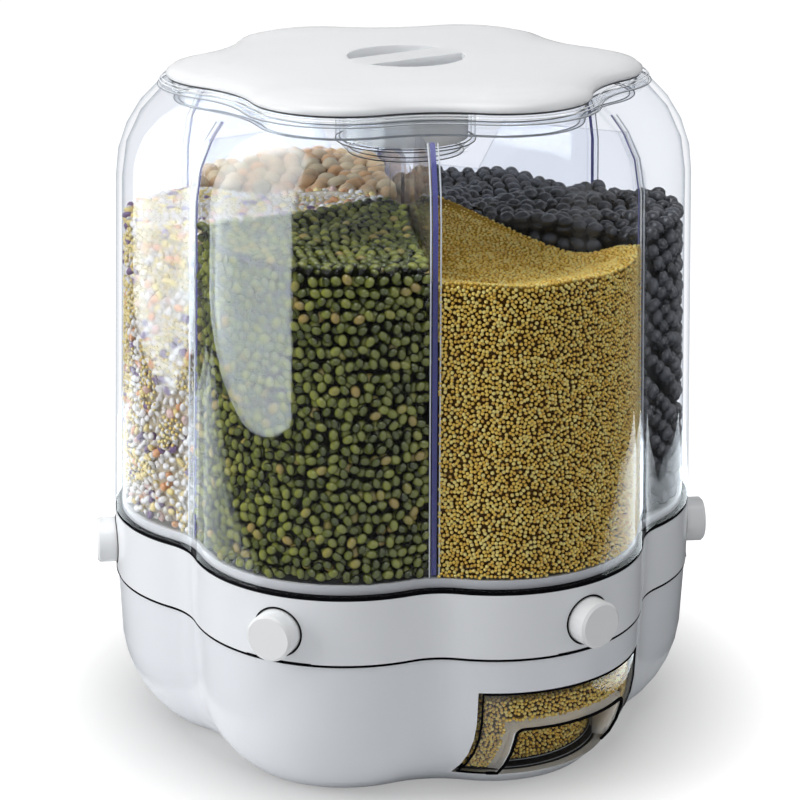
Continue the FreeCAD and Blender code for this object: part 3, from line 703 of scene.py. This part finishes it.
edge_line("cup_front_line", cup, on_cup_front, 0.50 * MM, black_rubber_and_painted_shade, "cup_body")
edge_line("recess_mouth_line", cup, on_recess_mouth, 0.70 * MM, black_rubber_and_painted_shade, "cup_body")
lip_shift = (0, 1.4 * MM, -0.9 * MM)
edge_line("recess_lip_line", cup, on_recess_mouth, 0.45 * MM, edge_highlight_white, "cup_body", lip_shift)
edge_line("recess_back_line", cup, on_recess_back, 0.22 * MM, edge_shade_grey, "cup_body")

# Grain in the six compartments: mung beans, millet, black beans in two, chickpeas and a mix. Each
# filling is a heap a few millimetres inside the clear wall, coloured dark as painted shade in the
# gaps, covered with single grains that lie against the wall and on the heap's top.
wall_thickness = 2.6 * MM
bucket_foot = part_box("bucket_shell")[0].z
draft_height = 144.5 * MM
draft_inset = 4.55 * MM
tray_rim_top = 96.4 * MM
vane_half = 1.0 * MM
hub_gap = 4 * MM
unseen_below = 0.195
widest_sine = 0.49


def heap(name, lobe, top_height, grain_reach, closed=True):
    """Heap of one compartment, kept inside wall, vanes and tray by the grains' reach. An open heap
    has only the skin that can be seen: its top, its wall side and the upper part of its flanks."""
    axis = math.radians(-90 + 60 * lobe)
    across, levels, rings = 44, 26, 14
    half = math.pi / 6
    work = bmesh.new()

    def plan(step, share, z):
        """Point at an across step, from the hub edge (share 0) to the wall (share 1)."""
        side = vane_half + grain_reach
        inset = wall_thickness + grain_reach + draft_inset * (z - bucket_foot) / draft_height
        reach = outline_reach(half, inset) - 1 * MM
        limit = half - math.asin(side / reach)
        angle = -limit + 2 * limit * step / across
        wall = outline_reach(angle, inset)
        near = side / math.sin(half) + hub_gap
        distance = near + (wall - near) * share
        lateral = min(half - math.asin(min(side / distance, widest_sine)), half)
        angle = angle / limit * lateral
        return distance * math.cos(axis + angle), distance * math.sin(axis + angle)

    tops = []
    for step in range(across + 1):
        column = []
        for ring in range(rings + 1):
            share = ring / rings
            z = top_height(step / across * 2 - 1, share)
            x, y = plan(step, share, z)
            column.append(work.verts.new((x, y, z)))
        tops.append(column)
    for step in range(across):
        for ring in range(rings):
            here, beyond = tops[step], tops[step + 1]
            work.faces.new((here[ring], here[ring + 1], beyond[ring + 1], beyond[ring]))
    low = tray_rim_top + grain_reach
    border = [tops[step][rings] for step in range(across + 1)]
    border += [tops[across][ring] for ring in range(rings - 1, -1, -1)]
    border += [tops[step][0] for step in range(across - 1, -1, -1)]
    border += [tops[0][ring] for ring in range(1, rings)]
    places = [(step, 1.0) for step in range(across + 1)]
    places += [(across, ring / rings) for ring in range(rings - 1, -1, -1)]
    places += [(step, 0.0) for step in range(across - 1, -1, -1)]
    places += [(0, ring / rings) for ring in range(1, rings)]
    previous = border
    for level in range(1, levels + 1):
        row = []
        for corner, (step, share) in zip(border, places):
            z = corner.co.z + (low - corner.co.z) * level / levels
            x, y = plan(step, share, z)
            row.append(work.verts.new((x, y, z)))
        for i in range(len(row)):
            j = (i + 1) % len(row)
            work.faces.new((previous[i], previous[j], row[j], row[i])[::-1])
        previous = row
    work.faces.new(previous)
    bmesh.ops.recalc_face_normals(work, faces=work.faces)
    if not closed:
        outward = Vector((math.cos(axis), math.sin(axis), 0))
        hidden = []
        for face in work.faces:
            inner_side = face.normal.dot(outward) < 0.1 and face.normal.z < 0.5
            if face.normal.z < -0.5 or (inner_side and face.calc_center_median().z < unseen_below):
                hidden.append(face)
        bmesh.ops.delete(work, geom=hidden, context="FACES")
    mesh = bpy.data.meshes.new(name)
    work.to_mesh(mesh)
    work.free()
    return mesh


def grain_shape(name, length, width, height, detail):
    """One grain: a small rounded body, longer than wide, with its long side along X."""
    work = bmesh.new()
    bmesh.ops.create_icosphere(work, subdivisions=detail, radius=0.5)
    bmesh.ops.scale(work, vec=(length, width, height), verts=work.verts)
    for face in work.faces:
        face.smooth = True
    mesh = bpy.data.meshes.new(name)
    work.to_mesh(mesh)
    work.free()
    # Height within the grain, from its inner to its outer side, which drives the painted shade of its inner
    # half.
    rise = mesh.attributes.new("grain height", "FLOAT", "POINT")
    for vert in mesh.vertices:
        rise.data[vert.index].value = vert.co.z / height + 0.5
    grain = bpy.data.objects.new(name, mesh)
    scene.collection.objects.link(grain)
    grain.hide_render = True
    grain.hide_viewport = True
    return grain


def scatter_tree():
    """Geometry Nodes tree that covers a heap with one kind of grain, each with a random shade."""
    inputs = (("Heap", "Geometry"), ("Grain", "Object"), ("Spacing", "Float"), ("Lift", "Float"),
              ("Tilt", "Float"), ("Smallest", "Float"), ("Seed", "Int"), ("Finish", "Material"))
    tree, nodes, links, given, result = geometry_tree("grain cover", inputs, "Grains")
    spread = nodes.new("GeometryNodeDistributePointsOnFaces")
    spread.distribute_method = "POISSON"
    spread.inputs["Density Max"].default_value = 4e6
    place = nodes.new("GeometryNodeInstanceOnPoints")
    source = nodes.new("GeometryNodeObjectInfo")
    turn = nodes.new("FunctionNodeRandomValue")
    turn.data_type = "FLOAT_VECTOR"
    low = nodes.new("ShaderNodeCombineXYZ")
    high = nodes.new("ShaderNodeCombineXYZ")
    minus = nodes.new("ShaderNodeMath")
    minus.operation = "MULTIPLY"
    minus.inputs[1].default_value = -1
    links.new(given.outputs["Tilt"], minus.inputs[0])
    links.new(minus.outputs[0], low.inputs["X"])
    links.new(minus.outputs[0], low.inputs["Y"])
    low.inputs["Z"].default_value = -math.pi
    links.new(given.outputs["Tilt"], high.inputs["X"])
    links.new(given.outputs["Tilt"], high.inputs["Y"])
    high.inputs["Z"].default_value = math.pi
    links.new(low.outputs[0], turn.inputs["Min"])
    links.new(high.outputs[0], turn.inputs["Max"])
    links.new(given.outputs["Seed"], turn.inputs["Seed"])
    rotate = nodes.new("FunctionNodeRotateEuler")
    rotate.rotation_type = "EULER"
    rotate.space = "LOCAL"
    size = nodes.new("FunctionNodeRandomValue")
    links.new(given.outputs["Smallest"], size.inputs[2])
    size.inputs[3].default_value = 1.0
    links.new(given.outputs["Seed"], size.inputs["Seed"])
    shift = nodes.new("GeometryNodeSetPosition")
    normal = nodes.new("GeometryNodeInputNormal")
    lifted = nodes.new("ShaderNodeVectorMath")
    lifted.operation = "SCALE"
    links.new(given.outputs["Heap"], shift.inputs["Geometry"])
    links.new(normal.outputs[0], lifted.inputs[0])
    links.new(given.outputs["Lift"], lifted.inputs["Scale"])
    links.new(lifted.outputs[0], shift.inputs["Offset"])
    links.new(shift.outputs[0], spread.inputs["Mesh"])
    links.new(given.outputs["Spacing"], spread.inputs["Distance Min"])
    links.new(given.outputs["Seed"], spread.inputs["Seed"])
    links.new(given.outputs["Grain"], source.inputs["Object"])
    links.new(spread.outputs["Points"], place.inputs["Points"])
    links.new(source.outputs["Geometry"], place.inputs["Instance"])
    links.new(spread.outputs["Rotation"], rotate.inputs["Rotation"])
    links.new(turn.outputs[0], rotate.inputs["Rotate By"])
    links.new(rotate.outputs[0], place.inputs["Rotation"])
    links.new(size.outputs[1], place.inputs["Scale"])
    shade = nodes.new("GeometryNodeStoreNamedAttribute")
    shade.domain = "INSTANCE"
    shade.inputs["Name"].default_value = "grain shade"
    pick = nodes.new("FunctionNodeRandomValue")
    links.new(given.outputs["Seed"], pick.inputs["Seed"])
    links.new(place.outputs[0], shade.inputs["Geometry"])
    links.new(pick.outputs[1], shade.inputs["Value"])
    real = nodes.new("GeometryNodeRealizeInstances")
    links.new(shade.outputs[0], real.inputs[0])
    finish = nodes.new("GeometryNodeSetMaterial")
    links.new(real.outputs[0], finish.inputs["Geometry"])
    links.new(given.outputs["Finish"], finish.inputs["Material"])
    links.new(finish.outputs[0], result.inputs["Grains"])
    return tree


grain_cover = scatter_tree()


def cover(name, heap_mesh, grain, spacing, lift, tilt, smallest, seed, material, body):
    """Runs the tree on a heap and keeps the grains as one plain mesh on the given body."""
    mesh = run_tree(name, heap_mesh, grain_cover, {
        "Grain": grain, "Spacing": spacing, "Lift": lift, "Tilt": tilt, "Smallest": smallest, "Seed": seed,
        "Finish": material})
    show_object(name, mesh, material, body)


def grain_core(name, shaded_side_colour, lit_top_colour):
    """Dull inside of a heap, whose colour is painted shade: dark where the wall side shows its gaps,
    lighter and warmer on the heap's top, which faces the light.
    """
    material, nodes, links, output = new_material(name)
    body = nodes.new("ShaderNodeBsdfDiffuse")
    lie = nodes.new("ShaderNodeNewGeometry")
    split = nodes.new("ShaderNodeSeparateXYZ")
    up = nodes.new("ShaderNodeMapRange")
    up.inputs["From Min"].default_value = 0.3
    up.inputs["From Max"].default_value = 0.8
    painted_light_tone = nodes.new("ShaderNodeMix")
    painted_light_tone.data_type = "RGBA"
    painted_light_tone.inputs["A"].default_value = (*shaded_side_colour, 1)
    painted_light_tone.inputs["B"].default_value = (*lit_top_colour, 1)
    links.new(lie.outputs["Normal"], split.inputs[0])
    links.new(split.outputs["Z"], up.inputs["Value"])
    links.new(up.outputs["Result"], painted_light_tone.inputs["Factor"])
    links.new(painted_light_tone.outputs["Result"], body.inputs["Color"])
    links.new(body.outputs[0], output.inputs["Surface"])
    return material


def in_patches(name, mesh, fineness, level):
    """Copy of a heap's skin that keeps only the patches where a smooth noise is over a level."""
    work = bmesh.new()
    work.from_mesh(mesh)
    gone = [face for face in work.faces if noise.noise(face.calc_center_median() * fineness) < level]
    bmesh.ops.delete(work, geom=gone, context="FACES")
    patches = bpy.data.meshes.new(name)
    work.to_mesh(patches)
    work.free()
    return patches


def grain_skin(name, shades, roughness, painted_shade_share):
    """Seed coat with a shade of its own on each grain, and painted shade that darkens its inner half
    down to a share of that shade.
    """
    material, nodes, links, output = new_material(name)
    body = nodes.new("ShaderNodeBsdfPrincipled")
    body.inputs["Roughness"].default_value = roughness
    body.inputs["Specular IOR Level"].default_value = 0.8
    value = nodes.new("ShaderNodeAttribute")
    value.attribute_name = "grain shade"
    ramp = nodes.new("ShaderNodeValToRGB")
    while len(ramp.color_ramp.elements) < len(shades):
        ramp.color_ramp.elements.new(0.5)
    for stop, (position, colour) in zip(ramp.color_ramp.elements, shades):
        stop.position = position
        stop.color = (*colour, 1)
    rise = nodes.new("ShaderNodeAttribute")
    rise.attribute_name = "grain height"
    lit = nodes.new("ShaderNodeMapRange")
    lit.interpolation_type = "SMOOTHSTEP"
    lit.inputs["From Min"].default_value = 0.42
    lit.inputs["From Max"].default_value = 0.90
    lit.inputs["To Min"].default_value = painted_shade_share
    lit.inputs["To Max"].default_value = 1.0
    coat = nodes.new("ShaderNodeVectorMath")
    coat.operation = "SCALE"
    links.new(value.outputs["Fac"], ramp.inputs["Fac"])
    links.new(rise.outputs["Fac"], lit.inputs["Value"])
    links.new(ramp.outputs["Color"], coat.inputs[0])
    links.new(lit.outputs["Result"], coat.inputs["Scale"])
    links.new(coat.outputs[0], body.inputs["Base Color"])
    links.new(body.outputs[0], output.inputs["Surface"])
    return material


def flat_top(height, bulge, seed):
    """Top of a heap at one height, gently uneven."""
    def top(across, share):
        rough = noise.noise(Vector((across * 2.3 + seed * 7.1, share * 2.1, seed * 3.7)))
        return height + bulge * rough
    return top


def tilted_top(hub_height, wall_height, tilt, seed):
    """Top that runs straight from the hub to the wall and leans to one side by a tilt."""
    def top(across, share):
        rough = noise.noise(Vector((across * 2.1 + seed, share * 2.4, seed * 1.9)))
        return hub_height + (wall_height - hub_height + tilt * across) * share + 0.003 * rough
    return top


def hollow_top(hub_height, hollow_height, wall_height, seed):
    """Top that falls from the hub into a hollow and climbs again at the wall."""
    hollow_share = 0.72

    def top(across, share):
        rough = noise.noise(Vector((across * 2.5 + seed, share * 2.5, seed)))
        if share < hollow_share:
            part = share / hollow_share
            low = hub_height + (hollow_height - hub_height) * part * part * (3 - 2 * part)
        else:
            part = (share - hollow_share) / (1 - hollow_share)
            low = hollow_height + (wall_height - hollow_height) * part * part * (3 - 2 * part)
        return low + 0.004 * abs(across) ** 3 * (1 - share) + 0.0015 * rough
    return top


core_inset = 1.9
layer_depth = 0.8


def fill(lobe, name, top, grain, reach, spacing, layers, material, core, tilt=0.4, smallest=0.85):
    """One compartment's grain: its dark core, painted shade between the grains, and its layers of
    single grains.
    """
    core_mesh = heap(name + "_core", lobe, top, reach * core_inset)
    show_object(name + "_core", core_mesh, core, "bucket")
    for polygon in core_mesh.polygons:
        polygon.use_smooth = True
    mesh = heap(name + "_surface", lobe, top, reach, closed=False)
    for layer in range(layers):
        cover("%s_layer_%d" % (name, layer + 1), mesh, grain, spacing, -layer * reach * layer_depth, tilt,
              smallest, lobe * 10 + layer, material, "bucket")


mung = grain_shape("mung bean", 5.2 * MM, 4.0 * MM, 4.0 * MM, 2)
mung_shades = [(0.0, (0.055, 0.072, 0.010)), (0.45, (0.150, 0.175, 0.022)),
               (0.9, (0.290, 0.310, 0.045)), (1.0, (0.42, 0.30, 0.08))]
mung_skin = grain_skin("mung bean skin", mung_shades, 0.14, 0.04)
mung_core = grain_core("mung bean core", (0.004, 0.005, 0.001), (0.02, 0.024, 0.006))
mung_top = tilted_top(0.2255, 0.2240, -0.0035, 2)
fill(5, "mung_beans", mung_top, mung, 2.1 * MM, 3.8 * MM, 2, mung_skin, mung_core)

millet = grain_shape("millet grain", 1.85 * MM, 1.75 * MM, 1.7 * MM, 1)
millet_shades = [(0.0, (0.80, 0.46, 0.035)), (0.5, (1.0, 0.68, 0.085)), (1.0, (1.0, 0.84, 0.26))]
millet_skin = grain_skin("millet skin", millet_shades, 0.30, 0.6)
millet_core = grain_core("millet core", (0.11, 0.055, 0.010), (0.46, 0.27, 0.03))
millet_top = hollow_top(0.2235, 0.2085, 0.2155, 3)
fill(0, "millet", millet_top, millet, 0.8 * MM, 1.28 * MM, 1, millet_skin, millet_core)

black_bean = grain_shape("black bean", 8.4 * MM, 7.2 * MM, 6.8 * MM, 2)
black_shades = [(0.0, (0.012, 0.014, 0.019)), (1.0, (0.064, 0.070, 0.086))]
black_skin = grain_skin("black bean skin", black_shades, 0.24, 0.25)
black_core = grain_core("black bean core", (0.002, 0.002, 0.003), (0.004, 0.004, 0.005))
for lobe in (1, 2):
    black_top = flat_top(0.2250 - 0.0075 * lobe, 0.006, 4 + lobe)
    fill(lobe, "black_beans_%d" % lobe, black_top, black_bean, 3.4 * MM, 6.4 * MM, 2, black_skin, black_core)

chickpea = grain_shape("chickpea", 9.4 * MM, 8.4 * MM, 8.4 * MM, 2)
chickpea_skin = grain_skin("chickpea skin", [(0.0, (1.0, 0.58, 0.26)), (1.0, (1.0, 0.84, 0.54))], 0.45, 0.7)
chickpea_core = grain_core("chickpea core", (0.20, 0.10, 0.04), (0.30, 0.16, 0.07))
chickpea_top = flat_top(0.2205, 0.006, 7)
fill(3, "chickpeas", chickpea_top, chickpea, 4.2 * MM, 7.9 * MM, 2, chickpea_skin, chickpea_core)

mixed = grain_shape("mixed grain", 4.8 * MM, 3.4 * MM, 2.8 * MM, 2)
mixed_shades = [(0.0, (0.86, 0.83, 0.78)), (0.45, (0.93, 0.91, 0.89)), (0.80, (0.90, 0.74, 0.30)),
                (0.87, (0.82, 0.42, 0.20)), (0.92, (0.20, 0.12, 0.26)), (0.97, (0.80, 0.56, 0.50))]
mixed_skin = grain_skin("mixed grain skin", mixed_shades, 0.45, 0.85)
mixed_skin.node_tree.nodes["Color Ramp"].color_ramp.interpolation = "CONSTANT"
mixed_core = grain_core("mixed grain core", (0.62, 0.54, 0.40), (0.66, 0.58, 0.46))
mixed_top = tilted_top(0.2250, 0.2200, 0.0010, 9)
fill(4, "mixed_grain", mixed_top, mixed, 1.9 * MM, 3.3 * MM, 2, mixed_skin, mixed_core, 0.8, 0.5)
small_grain = grain_shape("small yellow grain", 2.2 * MM, 2.0 * MM, 1.9 * MM, 1)
small_shades = [(0.0, (0.86, 0.62, 0.16)), (1.0, (0.98, 0.86, 0.40))]
small_skin = grain_skin("small yellow grain skin", small_shades, 0.4, 0.6)
mixed_surface = heap("mixed_grain_skin", 4, mixed_top, 1.3 * MM, closed=False)
small_patches = in_patches("mixed_grain patches", mixed_surface, 75, 0.02)
cover("mixed_grain_small", small_patches, small_grain, 1.9 * MM, 0, 0.5, 0.8, 44, small_skin, "bucket")

# Millet in the cup, up to just under the top of the opening. It lies against the curved front and
# round the finger recess.
cup_side = 38.5 * MM
cup_back_reach = 28.8 * MM
cup_fill_low = 9.5 * MM
cup_fill_high = 44.5 * MM
cup_front_wall = 2.1 * MM
cutter_foot = -0.02
arc_steps = 24
cup_levels = 9


def closed_block(name, rows):
    """Closed mesh through level rings of points, one over the other."""
    work = bmesh.new()
    rings = [[work.verts.new(point) for point in row] for row in rows]
    for lower, upper in zip(rings, rings[1:]):
        for i in range(len(lower)):
            j = (i + 1) % len(lower)
            work.faces.new((lower[i], lower[j], upper[j], upper[i]))
    work.faces.new(rings[0][::-1])
    work.faces.new(rings[-1])
    bmesh.ops.recalc_face_normals(work, faces=work.faces)
    mesh = bpy.data.meshes.new(name)
    work.to_mesh(mesh)
    work.free()
    return mesh


def front_arc(reach, half_width):
    """Plan points of an arc round the lobe's centre, from one side of the cup to the other."""
    swing = math.asin(half_width / reach)
    turns = [swing * (2 * step / arc_steps - 1) for step in range(arc_steps + 1)]
    return [(reach * math.sin(turn), -lobe_centre - reach * math.cos(turn)) for turn in turns]


def cup_room(name, margin):
    """Inside of the cup as a closed block, moved in by a margin, with the recess taken out."""
    side = cup_side - margin
    radius = skin_arc_radius - cup_front_wall - margin
    rows = []
    for level in range(cup_levels + 1):
        z = cup_fill_low + margin + (cup_fill_high - cup_fill_low - 2 * margin) * level / cup_levels
        depth = skin_arc_inset - math.sqrt(radius ** 2 - (skin_arc_height - z) ** 2)
        plan = front_arc(lobe_crest - lobe_centre - depth, side)
        plan += [(side, -cup_back_reach - margin), (-side, -cup_back_reach - margin)]
        rows.append([(x, y, z) for x, y in plan])
    room = closed_block(name + " room", rows)
    half = recess_half + margin
    plan = front_arc(recess_back - margin, half)
    plan += [(half, -2 * lobe_crest), (-half, -2 * lobe_crest)]
    rows = [[(x, y, z) for x, y in plan] for z in (cutter_foot, recess_roof + margin)]
    recess = closed_block(name + " recess", rows)
    holder = bpy.data.objects.new(name + " room", room)
    cutter = bpy.data.objects.new(name + " recess", recess)
    scene.collection.objects.link(holder)
    scene.collection.objects.link(cutter)
    taken = holder.modifiers.new("recess", "BOOLEAN")
    taken.object = cutter
    bpy.context.view_layer.update()
    cut = holder.evaluated_get(bpy.context.evaluated_depsgraph_get())
    mesh = bpy.data.meshes.new_from_object(cut)
    bpy.data.objects.remove(holder)
    bpy.data.objects.remove(cutter)
    mesh.name = name
    return mesh


# The cup's core is coloured as painted shade between the millet grains, like the heaps'.
show_object("cup_millet_core", cup_room("cup_millet_core", 1.7 * MM), millet_core, "cup_body")
cup_surface = cup_room("cup_millet", 0.9 * MM)
cover("cup_millet", cup_surface, millet, 1.30 * MM, 0, 0.4, 0.85, 77, millet_skin, "cup_body")
